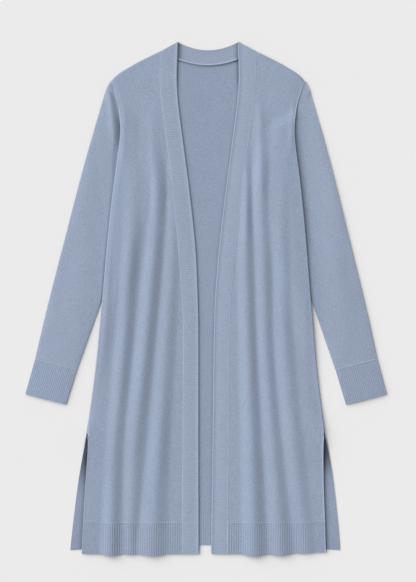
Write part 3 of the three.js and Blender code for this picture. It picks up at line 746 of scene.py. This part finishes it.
def make_front(side):
    name = side_name(side)
    row_y, share, tip = panel_rows(HEM_SEAM_Y, FRONT_TOP_Y, FRONT_ROWS)
    flat = np.linspace(0, 1, FRONT_COLUMNS)
    w = np.concatenate([flat, np.ones(len(QUARTER_TURN))])[None, :]
    turn = np.concatenate([np.zeros(len(flat)), QUARTER_TURN])[None, :]
    side_radius = roll_radius(front_side(row_y), row_y, FRONT_ROLL_SHARE)
    shoulder_half = lerp(BAND_TOP_HALF, SHOULDER_HALF, w)
    top_radius = roll_radius(shoulder_half, SHOULDER_Y, FRONT_ROLL_SHARE)
    y = lerp(HEM_SEAM_Y, shoulder_y(shoulder_half) - top_radius, share)
    seam_y = lerp(HEM_SEAM_Y, FRONT_NECK_Y, share)
    half = lerp(band_seam(seam_y) + SEAM / 2, front_side(row_y) - side_radius, w)
    half = half + edge_shift(SLIT_EDGE, side, row_y) * smoothstep(w, 0.8, 1)
    radius = np.where(turn > 0, side_radius, top_radius)
    z = front_surface(side, half, y)
    outer, inner = panel_pair(side, half, y, z, radius, turn, tip, front_side_roll(row_y), 1, 1)
    u = (half + radius * turn) * MM
    v = (y + radius * tip) * MM
    # Painted light: on the upper fronts, and on the rolled side edge, below the sleeve on the right and
    # beside it on the left
    upper = smoothstep(y, -60, 20)
    painted_light = EDGE_PAINTED_LIGHT * np.sin(turn) * (1 - upper if side > 0 else 0.6 * upper)
    shade = 1 + CHEST_PAINTED_LIGHT[name] * smoothstep(y, 40, 260) + painted_light
    return wall(f"front_{name}_knit", outer, inner, u, v, KNIT["body_knit"], shade=shade)


def make_back():
    row_y, share, tip = panel_rows(BACK_SEAM_SIDE_Y, BACK_TOP_Y, BACK_ROWS)
    top_side = back_side(BACK_TOP_Y)
    widest = top_side - roll_radius(top_side, BACK_TOP_Y, BACK_ROLL_SHARE)
    neck_half = np.linspace(0, NECK_CORNER_HALF, NECK_STEPS)
    w = np.linspace(0, 1, FOLD_STEPS)
    fold_half = lerp(NECK_CORNER_HALF + SEAM, SHOULDER_HALF, w)
    fold_radius = roll_radius(fold_half, SHOULDER_Y, BACK_ROLL_SHARE)
    turns = len(QUARTER_TURN)
    one_half = np.concatenate([
        neck_half, lerp(NECK_CORNER_HALF + SEAM, widest, w), np.full(turns, widest)])
    top_y = np.concatenate([
        back_neck_y(neck_half) - SEAM, shoulder_y(fold_half) - fold_radius,
        np.full(turns, shoulder_y(SHOULDER_HALF) - fold_radius[-1])])
    radius = np.concatenate([np.zeros(NECK_STEPS), fold_radius, np.full(turns, fold_radius[-1])])
    tipped = np.concatenate([np.zeros(NECK_STEPS), np.minimum(1, 3 * w), np.ones(turns)])
    turn = np.concatenate([np.zeros(NECK_STEPS + FOLD_STEPS), QUARTER_TURN])

    def both(values):
        return np.concatenate([values[:0:-1], values])[None, :]

    side = np.concatenate([-np.ones(len(one_half) - 1), np.ones(len(one_half))])[None, :]
    one_half, top_y, radius, tipped, turn = (both(c) for c in (one_half, top_y, radius, tipped, turn))
    side_radius = roll_radius(back_side(row_y), row_y, BACK_ROLL_SHARE)
    half = one_half / widest * (back_side(row_y) - side_radius)
    half = half + edge_shift(BACK_EDGE, side, row_y) * smoothstep(one_half / widest, 0.8, 1)
    y = lerp(back_hem_y(half) + HEM_DEPTH, top_y, share)
    radius = np.where(turn > 0, side_radius, radius)
    z = floor_under(half, y)
    outer, inner = panel_pair(side, half, y, z, radius, turn, tip, back_side_roll(row_y), tipped, -1)
    outer[..., 2] += MM * creased("under_back", half * side, y)
    inner[..., 2] += BACK_WAVES * MM * np.sin(half / 23 * side + y / 130) * np.sin(y / 57)
    shade = np.where(turn < 1.2, slit_shade(side, half, y), 1) - neck_shade(side, half, y)
    u = side * (half + radius * turn) * MM
    v = (y + radius * tip) * MM
    return wall("back_knit", outer, inner, u, v, KNIT["inside_knit"], shade=shade)


# Ribbed hems and their corners
FRONT_HEM_ROWS, BACK_HEM_ROWS, CORNER_COLUMNS = 26, 14, 14
FRONT_RIB_STEPS, BACK_RIB_STEPS, CUFF_RIB_STEPS = 8, 6, 8  # across each rib
# How high the ribs are beside the slit corner, and how far from it they start to rise and are whole
FIRST_RIBS = {
    "left": {"least": 0.25, "start": 0, "full": 14},
    "right": {"least": 0.05, "start": 4, "full": 9},
}


def rib_wave(phase, height=RIB_HEIGHT):
    """Rounded ribs and furrows; phase counts ribs."""
    return height * np.sin(math.pi * phase) ** 2 - RIB_SINK


FRONT_RIB_END = front_side(HEM_Y) - VENT_WIDTH


def back_rib_end(rows):
    return back_side(lerp(BACK_SEAM_SIDE_Y, BACK_HEM_Y, rows)) - VENT_WIDTH


def shares(rows, columns):
    """Shares from 0 to 1 down a piece and across it."""
    return np.linspace(0, 1, rows)[:, None], np.linspace(0, 1, columns)[None, :]


def front_hem_piece(ending, side, half, rows, relief, material, shade=None):
    y = lerp(HEM_SEAM_Y - SEAM, front_hem_y(side, half), rows)
    top = front_surface(side, half, y)
    outer, inner = place(side, half, y, top + relief), place(side, half, y, top - CLOTH)
    name = f"front_{side_name(side)}_{ending}"
    return wall(name, outer, inner, half * MM, y * MM, material, shade=shade)


def make_front_hem(side):
    rows, across = shares(FRONT_HEM_ROWS, FRONT_RIBS * FRONT_RIB_STEPS + 1)
    half = lerp(band_seam(HEM_Y) + SEAM / 2, FRONT_RIB_END - SEAM / 2, across)
    first = FIRST_RIBS[side_name(side)]
    rising = smoothstep(FRONT_RIB_END - half, first["start"], first["full"])
    height = smoothstep(rows, 0, 0.06) * lerp(first["least"], 1, rising)
    relief = rib_wave(across * FRONT_RIBS) * height
    return front_hem_piece("hem_ribs", side, half, rows, relief, KNIT["rib_knit"])


def make_front_corner(side):
    rows, across = shares(FRONT_HEM_ROWS, CORNER_COLUMNS)
    row_y = lerp(HEM_SEAM_Y, HEM_Y, rows)
    edge = front_side(row_y) + edge_shift(SLIT_EDGE, side, row_y)
    half = lerp(FRONT_RIB_END + SEAM / 2, edge, across)
    return front_hem_piece("corner_knit", side, half, rows, 0, KNIT["body_knit"], 1 + CORNER_TONE)


def make_back_hem():
    rows, across = shares(BACK_HEM_ROWS, BACK_RIBS * BACK_RIB_STEPS + 1)
    half = (back_rib_end(rows) - SEAM / 2) * (2 * across - 1)
    y = back_hem_y(half) + lerp(HEM_DEPTH - SEAM, 0, rows)
    wave = rib_wave(across * BACK_RIBS)
    upper = place(1, half, y, CLOTH + wave)
    under = place(1, half, y, np.maximum(0, -wave))
    return wall("back_hem_ribs", upper, under, half * MM, y * MM, KNIT["back_rib_knit"])


def make_back_corner(side):
    rows, across = shares(BACK_HEM_ROWS, CORNER_COLUMNS)
    row_y = lerp(BACK_SEAM_SIDE_Y, BACK_HEM_Y, rows)
    width = VENT_WIDTH + edge_shift(BACK_EDGE, side, row_y)
    half = back_rib_end(rows) + lerp(SEAM / 2, width, across)
    y = back_hem_y(half) + lerp(HEM_DEPTH - SEAM, 0, rows)
    upper, under = place(side, half, y, CLOTH), place(side, half, y, 0)
    name = f"back_{side_name(side)}_corner_knit"
    shade = slit_shade(side, half, y)
    return wall(name, upper, under, half * MM, y * MM, KNIT["inside_knit"], shade=shade)


# Sleeves and cuffs
TUBE_ROUNDING, UNDER_ROUNDING = 0.3, 0.15  # of the long edges, on top and below; less is squarer
UNDER_FLATNESS = 1.2
SLEEVE_ROWS, SLEEVE_STEPS = 190, 57
SLEEVE_ROW_SPREAD = 1.15  # above 1, rows lie closer together at the shoulder
SLEEVE_LENGTH = 560
SLEEVE_WAVES = 0.3
CUFF_ROWS, CUFF_START = 28, 0.006  # a cuff starts just below the sleeve
CUFF_WIDTH, CUFF_LENGTH = 84, 73


def tube_ring(top, under_step):
    """Places round a tube, over the top and back below, which are on top, and how far round they lie."""
    under = top[::under_step][::-1][1:-1]
    around = np.concatenate([top, under])[None, :]
    over = np.concatenate([np.ones(len(top), bool), np.zeros(len(under), bool)])[None, :]
    ring = np.concatenate([top, 2 - under, [2.0]])[None, :]
    return around, over, ring


def tube_pair(side, outer_edge, inner_edge, around, over, height, bend, raised):
    """Outer and inner points of a flattened tube, and its width; around starts at its outer fold."""
    hollow = np.clip(4 * around * (1 - around), 0, 1)
    below = np.minimum(1, UNDER_FLATNESS * hollow**UNDER_ROUNDING)
    level = np.where(over, hollow**TUBE_ROUNDING, -below) / 2
    width = np.hypot(outer_edge[0] - inner_edge[0], outer_edge[1] - inner_edge[1])
    inset = CLOTH / width

    def layer(at, z):
        half, y = (lerp(a, b, at) + off for a, b, off in zip(outer_edge, inner_edge, bend))
        return place(side, half, y, z)

    outer = layer(around, np.maximum(0, height / 2 + level * height + raised))
    inner = layer(lerp(inset, 1 - inset, around), height / 2 + level * (height - 2 * CLOTH))
    return outer, inner, width


def mouth_half(y):
    """Where the sleeve meets the body: along its edge, and under it below the armhole's foot."""
    foot = front_side(ARMHOLE_FOOT_Y) + SEAM
    under = lerp(UNDERARM_HALF, foot, (y - UNDERARM_Y) / (ARMHOLE_FOOT_Y - UNDERARM_Y))
    return np.where(y >= ARMHOLE_FOOT_Y, front_side(y) + SEAM, under)


def sleeve_height(side, half, y, share):
    """A sleeve sinks where it meets the body; the right one lies low in the body's shade."""
    upper = smoothstep(y, 225, 300)
    beside = half - front_side(y)
    if side < 0:
        at_edge = smoothstep(beside, 0.5, lerp(2.5, 13, upper))
        beside = lerp(smoothstep(beside, 2, 50), at_edge, lerp(0.5, 1, upper))
    else:
        beside = smoothstep(beside, 16, 70)
    above = smoothstep(y, ARMHOLE_FOOT_Y + 50, ARMHOLE_FOOT_Y + 92)
    free = lerp(SLEEVE_PRESSED, SLEEVE_HEIGHT, np.maximum(beside, above))
    return lerp(free, CUFF_HEIGHT, smoothstep(share, 0.85, 1) * beside)


def make_sleeve(side):
    name = side_name(side)
    share = (np.linspace(0, 1, SLEEVE_ROWS) ** SLEEVE_ROW_SPREAD)[:, None]
    angle = np.linspace(0, math.pi, SLEEVE_STEPS)
    # Points lie closer together at both folds
    around, over, ring = tube_ring(lerp(0.5 - 0.5 * np.cos(angle), angle / math.pi, 0.35), 2)
    outer_edge = (
        lookup(SLEEVE_OUTER, "share", "half", share) + SEAM * (1 - share),
        lookup(SLEEVE_OUTER, "share", "y", share),
    )
    underarm = (UNDERARM_HALF, UNDERARM_Y)
    inner_edge = tuple(lerp(a, b, share) for a, b in zip(underarm, SLEEVE_INNER_FOOT))
    mouth_y = lerp(SLEEVE_TOP_Y, UNDERARM_Y, around)
    chord = lerp(mouth_half(SLEEVE_TOP_Y), UNDERARM_HALF, around)
    bend = ((mouth_half(mouth_y) - chord) * (1 - share) ** 6, 0)
    half = lerp(outer_edge[0], inner_edge[0], around) + bend[0]
    y = lerp(outer_edge[1], inner_edge[1], around)
    height = sleeve_height(side, half, y, share)
    soft = SLEEVE_WAVES * np.sin(around * 7 + share * 9 + side) * np.sin(share * 23 + around * 3)
    free = np.clip((height - SLEEVE_PRESSED) / (SLEEVE_HEIGHT - SLEEVE_PRESSED), 0, 1)
    raised = soft * 4 * around * (1 - around) * free
    raised = raised + creased(f"sleeve_{name}", half, y) * smoothstep(free, 0, 0.5)
    raised = np.where(over, raised, 0)
    outer, inner, width = tube_pair(side, outer_edge, inner_edge, around, over, height, bend, raised)
    u, v = ring * width * MM, -share * SLEEVE_LENGTH * MM
    # Painted light on the edge that turns from the light, painted shade beside the body and on the lower
    # right sleeve
    shade = 1 + tube_painted_light(side, around) - armhole_shade(side, half, y)
    shade = shade + LOWER_SLEEVE_PAINTED_SHADE[name] * (1 - smoothstep(y, 0, 200))
    return wall(f"sleeve_{name}_knit", outer, inner, u, v, KNIT["sleeve_knit"], ringed=True, shade=shade)


def make_cuff(side):
    name = side_name(side)
    share = np.linspace(CUFF_START, 1, CUFF_ROWS)[:, None]
    around, over, ring = tube_ring(np.linspace(0, 1, CUFF_RIBS * CUFF_RIB_STEPS + 1), 1)
    outer_seam = (SLEEVE_OUTER["half"][-1], SLEEVE_OUTER["y"][-1])
    outer_edge = tuple(lerp(a, b, share) for a, b in zip(outer_seam, CUFF_OUTER_FOOT))
    inner_edge = tuple(lerp(a, b, share) for a, b in zip(SLEEVE_INNER_FOOT, CUFF_INNER_FOOT))
    wave = rib_wave(around * CUFF_RIBS, CUFF_RIB_HEIGHT)
    raised = np.where(over, wave, -wave)
    outer, inner, _ = tube_pair(
        side, outer_edge, inner_edge, around, over, CUFF_HEIGHT, (0, 0), raised)
    u, v = ring * CUFF_WIDTH * MM, -share * CUFF_LENGTH * MM
    shade = 1 + CUFF_PAINTED_LIGHT[name] + tube_painted_light(side, around)
    return wall(f"cuff_{name}_ribs", outer, inner, u, v, KNIT["rib_knit"], ringed=True, shade=shade)


# The band in one length, up the left front, round the back neck and down the right front; q runs
# across it from its free edge to its seam
BAND_WIDTH = 33
BAND_SECTION = {
    "q": [0, 0.015, 0.035, 0.06, 0.09, 0.13, 0.3, 0.5, 0.7, 0.88, 0.95, 1],
    "raised": [-2.3, -1.1, -0.4, -0.2, -0.55, -0.95, -0.55, -0.2, 0, 0.05, 0, -0.15],
}
COLLAR_RELIEF = 0.3  # of the ribs and the section where the band is pressed flat behind the neck
# The left front's free edge lies a little further in than the right one's
LEFT_EDGE = {"y": [-509, 0, 90, 240, 320, 420, 514], "inward": [0.3, 0.6, 2.6, 2.6, 1.6, 0.6, 0]}


def band_skew(y):
    """The free edge reaches the shoulder higher up than the seam."""
    return (NECK_TOP_Y - BAND_TOP_Y) * smoothstep(y, 400, NECK_CORNER_Y)


def make_band():
    q = np.array(BAND_SECTION["q"])[None, :]
    raised = np.array(BAND_SECTION["raised"])[None, :]
    ribbed = smoothstep(q, 0.09, 0.16) * (1 - smoothstep(q, 0.88, 0.95))
    step = BAND_RIB_PITCH / 4
    leg_length = NECK_CORNER_Y - HEM_Y
    neck_length = 2 * NECK_CORNER_HALF
    turn_length = math.pi * BAND_ROLL

    def edges(y):
        free_y = y + band_skew(y)
        return band_open(free_y), free_y, band_seam(y) - SEAM / 2, y

    def ribs(travelled):
        return BAND_RIB_HEIGHT / 2 * np.cos(2 * math.pi * travelled / BAND_RIB_PITCH) * ribbed

    def leg(side, travelled):
        y = (HEM_Y + travelled)[:, None]
        free_half, free_y, seam_half, seam_y = edges(y)
        half, spot_y = lerp(free_half, seam_half, q), lerp(free_y, seam_y, q)
        if side < 0:
            half = half - (1 - q) * lookup(LEFT_EDGE, "y", "inward", y)
        z = 2 * BAND_ROLL + q * fold_rise(side, band_seam(y), y)
        outer = place(side, half, spot_y, z + raised + ribs(travelled[:, None]))
        inner = place(side, half, spot_y, z - BAND_CLOTH)
        return outer, inner

    def turn_over(side, travelled):
        angle = (travelled / turn_length * math.pi)[:, None]
        free_half, free_y, seam_half, seam_y = edges(NECK_CORNER_Y)
        half, spot_y = lerp(free_half, seam_half, q), lerp(free_y, seam_y, q)

        def layer(radius):
            z = BAND_ROLL + radius * np.cos(angle)
            return place(side, half, spot_y + radius * np.sin(angle), z)

        wave = ribs(leg_length + travelled[:, None])
        return layer(BAND_ROLL + raised + wave), layer(BAND_ROLL - BAND_CLOTH)

    def behind(travelled):
        along = (travelled / neck_length * 2 - 1)[:, None]
        free_half, _, seam_half, _ = edges(NECK_CORNER_Y)
        half = lerp(free_half, seam_half, q) * along
        y = lerp(back_collar_y(free_half * along), back_neck_y(seam_half * along), q)
        wave = COLLAR_RELIEF * ribs(travelled[:, None])
        under = place(1, half, y, np.maximum(0, -raised - wave))
        upper = place(1, half, y, BAND_CLOTH + np.minimum(0, raised) * COLLAR_RELIEF + wave)
        return under, upper

    def steps(length):
        return np.arange(step, length, step)

    legs, turns, neck = steps(leg_length), steps(turn_length), steps(neck_length)
    stretches = [
        leg(-1, np.concatenate([[0], legs])),
        turn_over(-1, turns),
        behind(neck),
        [grid[::-1] for grid in turn_over(1, turns)],
        [grid[::-1] for grid in leg(1, np.concatenate([[0], legs]))],
    ]
    outer, inner = (np.concatenate([pair[k] for pair in stretches]) for k in (0, 1))
    v = (np.arange(len(outer)) * step * MM)[:, None]
    shade = np.ones(outer.shape[:2])
    start = len(legs) + 1 + len(turns)
    across = lerp(NECK_TOP_HALF, NECK_CORNER_HALF, q) * (neck[:, None] / neck_length * 2 - 1)
    shade[start : start + len(neck)] = collar_shade(across)
    u = q * BAND_WIDTH * MM
    return wall("front_band_knit", outer, inner, u, v, KNIT["band_knit"], shade=shade)


# Seams
CHAIN_SIDES = 6
# Linking stitches and bound edges, in a lighter yarn that is a painted highlight along them: the piece
# they are on, radius and pitch in millimetres, the thinnest part as a share of the radius, the height as
# a share of the width and how far they stand up
STITCHES = {
    "band_seam": ("front", 0.85, 3.1, 0.3, 0.5, 0.2),
    "armhole_seam": ("sleeve", 0.7, 2.6, 0.55, 1, 0.1),
    "slit_highlight_cord": ("front", 0.9, 60, 0.9, 1, -0.35),
    "hem_seam": ("front", 0.95, 4.5, 0.1, 1, 0.4),
    "corner_seam": ("front", 0.45, 2.6, 0.55, 1, -0.2),
    "cuff_seam": ("cuff", 0.9, 3.5, 0.55, 1, 0.3),
}
LEFT_ARMHOLE_LIFT = 0.2  # more, since this seam lies on the rolled edge itself


def chain(kind, name, path, node):
    """A row of linking stitches: a thin cord along a path, thicker at every stitch."""
    _, radius, pitch, least, flat, _ = STITCHES[kind]
    run = np.linalg.norm(np.diff(path, axis=0), axis=1)
    at = np.concatenate([[0], np.cumsum(run)])
    count = max(8, int(at[-1] / (pitch * MM / 6)))
    travelled = np.linspace(0, at[-1], count)
    line = np.stack([np.interp(travelled, at, path[:, k]) for k in range(3)], -1)
    ahead = np.gradient(line, axis=0)
    ahead /= np.linalg.norm(ahead, axis=1, keepdims=True)
    sideways = np.cross(ahead, (0.0, 0.0, 1.0))
    sideways /= np.maximum(1e-9, np.linalg.norm(sideways, axis=1, keepdims=True))
    lift = np.cross(sideways, ahead)
    beat = np.abs(np.sin(math.pi * travelled / (pitch * MM)))
    size = (radius * MM * lerp(least, 1, beat))[:, None, None]
    angle = np.linspace(0, 2 * math.pi, CHAIN_SIDES + 1)[:-1]
    ring = np.cos(angle)[None, :, None] * sideways[:, None, :]
    ring = ring + flat * np.sin(angle)[None, :, None] * lift[:, None, :]
    outer = line[:, None, :] + ring * size
    inner = line[:, None, :] + ring * size * 0.2
    u = np.linspace(0, 2 * math.pi * radius, CHAIN_SIDES + 1)[None, :] * MM
    v = travelled[:, None]
    made = wall(f"{kind}_{name}", outer, inner, u, v, KNIT["linking_thread"], ringed=True)
    return dress(made, node)


def seam_chains(side):
    """The stitched lines and bound edges of one half of the garment, by the node they are on."""
    name = side_name(side)
    made = {f"{part}_{name}": [] for part in ("front", "sleeve", "cuff")}

    def sew(kind, half, y, surface=None):
        part, *_, lift = STITCHES[kind]
        node = f"{part}_{name}"
        surface = front_surface(side, half, y) if surface is None else surface
        path = place(side, half, y, surface + lift)
        made[node].append(chain(kind, name, path, node))

    y = np.linspace(HEM_Y + 0.5, FRONT_NECK_Y, 500)
    sew("band_seam", band_seam(y) + 0.3, y)

    y = np.linspace(SHOULDER_Y - 12, ARMHOLE_FOOT_Y + 4, 120)
    half = front_side(y)
    if side < 0:
        edge = front_top(side, half, y) - front_side_roll(y) * roll_radius(half, y, FRONT_ROLL_SHARE)
        sew("armhole_seam", half - 0.4, y, edge + LEFT_ARMHOLE_LIFT)
    else:
        sew("armhole_seam", half - 1.3, y)

    y = np.linspace(SLIT_TOP_Y - 6, front_hem_y(side, front_side(HEM_Y)) + 0.3, 240)
    # A cord along the slit edge, whose lighter yarn is a painted highlight on the edge
    sew("slit_highlight_cord", front_side(y) + edge_shift(SLIT_EDGE, side, y) + 0.1, y)

    rib_end = front_side(HEM_SEAM_Y) - VENT_WIDTH + 1
    half = np.linspace(band_seam(HEM_Y) + 1, rib_end, 400)
    sew("hem_seam", half, np.full_like(half, HEM_SEAM_Y))
    half = np.linspace(rib_end, front_side(HEM_SEAM_Y) - 1, 60)
    sew("corner_seam", half, np.full_like(half, HEM_SEAM_Y + 4))

    around = np.linspace(0.01, 0.99, 120)
    half = lerp(SLEEVE_OUTER["half"][-1], SLEEVE_INNER_FOOT[0], around)
    y = lerp(SLEEVE_OUTER["y"][-1], SLEEVE_INNER_FOOT[1], around)
    level = np.clip(4 * around * (1 - around), 0, 1) ** TUBE_ROUNDING
    sew("cuff_seam", half, y, CUFF_HEIGHT / 2 * (1 + level))
    return made


RIDGE_BASE, RIDGE_HEIGHT = 0.35, 2.7
RIDGE_BEAT, RIDGE_PITCH = 0.12, 2.8  # of its stitches
RIDGE_COLUMNS, RIDGE_ROWS = 300, 11


def make_neck_ridge():
    """The rolled seam that stands up inside the back neck."""
    half = np.linspace(-RIDGE_HALF, RIDGE_HALF, RIDGE_COLUMNS)[:, None]
    q = np.linspace(0, 1, RIDGE_ROWS)[None, :]
    y = back_neck_y(half) + SEAM + RIDGE_WIDTH * q
    floor = BAND_CLOTH + RIDGE_LIFT
    beat = RIDGE_BEAT * np.sin(2 * math.pi * half / RIDGE_PITCH + 3 * q)
    top = floor + RIDGE_BASE + (RIDGE_HEIGHT + beat) * np.sin(math.pi * q) ** 0.8
    upper, under = place(1, half, y, top), place(1, half, y, floor)
    return wall("neck_ridge_knit", upper, under, half * MM, q * RIDGE_WIDTH * MM, KNIT["ridge_knit"])


# The floor
FLOOR_SIZE = 12
FLOOR_COLOUR = (0.800, 0.790, 0.790, 1)


def make_floor():
    bpy.ops.mesh.primitive_plane_add(size=FLOOR_SIZE)
    made = bpy.context.object
    made.name = "floor"
    material = bpy.data.materials.new("floor_paint")
    material.use_nodes = True
    surface = material.node_tree.nodes["Principled BSDF"]
    fill(surface, {"Base Color": FLOOR_COLOUR, "Roughness": 1, "Specular IOR Level": 0})
    made.data.materials.append(material)


def laid(piece, node):
    """Puts a sheet of cloth that lies on the floor in the place of a node, and hides that node's part."""
    dress(piece, node)


# Every piece made, and put in the place of its node
make_floor()
laid(make_back(), "back")
laid(make_back_hem(), "back_hem")
for side in (-1, 1):
    laid(make_back_corner(side), f"back_{side_name(side)}_corner")
ridge = dress(make_neck_ridge(), "back_neck_ridge")
laid(make_band(), "front_band")
for side in (-1, 1):
    front, sleeve, cuff = (f"{part}_{side_name(side)}" for part in ("front", "sleeve", "cuff"))
    sewn = seam_chains(side)
    laid(make_front(side), front)
    laid(make_front_hem(side), f"{front}_hem")
    laid(make_front_corner(side), f"{front}_corner")
    laid(make_sleeve(side), sleeve)
    laid(make_cuff(side), cuff)

# Light: a broad soft sun from the upper left and an even sky
TOWARDS_LIGHT = (-0.74, 0.42, 0.70)
KEY_ENERGY = 3.05
KEY_SPREAD = 62
SKY = 0.43
scene = bpy.context.scene
scene.world = bpy.data.worlds.new("studio")
scene.world.use_nodes = True
background = scene.world.node_tree.nodes["Background"]
fill(background, {"Color": (1, 1, 1, 1), "Strength": SKY})

key = bpy.data.lights.new("key", "SUN")
key.energy = KEY_ENERGY
key.angle = math.radians(KEY_SPREAD)
key_object = add_object("key", key)
key_object.rotation_mode = "QUATERNION"
key_object.rotation_quaternion = Vector(TOWARDS_LIGHT).to_track_quat("Z", "Y")

# Camera straight above, framed as in the photo: 2 mm to a pixel
PIXEL = 2.0
PHOTO_HEIGHT = 582
VIEW_CENTRE = (5, 17)
LENS, SENSOR = 135, 36
camera_data = bpy.data.cameras.new("camera")
camera_data.lens = LENS
camera_data.sensor_width = SENSOR
camera_data.clip_end = 20
distance = PHOTO_HEIGHT * PIXEL * MM / (SENSOR / LENS)
camera = add_object("camera", camera_data)
camera.location = ((VIEW_CENTRE[0] - MIDDLE_X) * MM, (VIEW_CENTRE[1] - MIDDLE_Y) * MM, distance)
bpy.context.scene.camera = camera
scene.view_settings.view_transform = "Standard"
scene.view_settings.look = "None"
